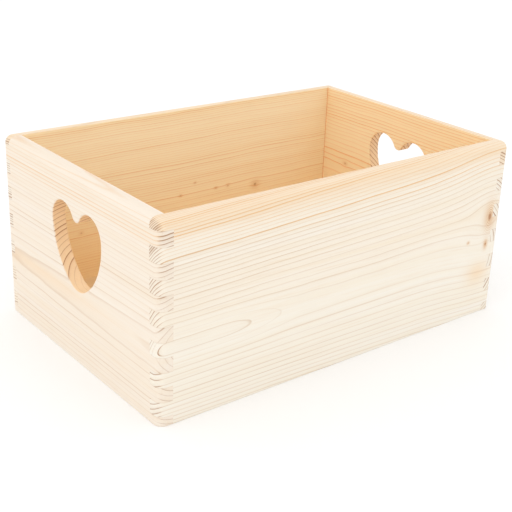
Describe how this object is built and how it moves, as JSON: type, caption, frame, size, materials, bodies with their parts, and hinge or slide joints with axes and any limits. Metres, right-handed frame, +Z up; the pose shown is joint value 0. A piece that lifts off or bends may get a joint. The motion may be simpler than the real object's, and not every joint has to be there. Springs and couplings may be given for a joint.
{
  "type": "wooden toy box",
  "caption": "Open rectangular pine toy box with finger-jointed corners, a grooved-in plywood floor and a heart-shaped hand hole through each end wall.",
  "frame": {"origin": "middle of the rectangle that the box stands on, level with the underside of its walls", "axes": "+X along the long walls, -Y out of the front wall, +Z up out of the open top"},
  "size_m": [0.3, 0.199, 0.133],
  "materials": {
    "pine": "sanded bare softwood",
    "plywood": "sanded bare birch plywood"
  },
  "bodies": {
    "root": {"front_wall": "pine", "back_wall": "pine", "left_end_wall": "pine", "right_end_wall": "pine", "floor_panel": "plywood"}
  },
  "joints": []
}
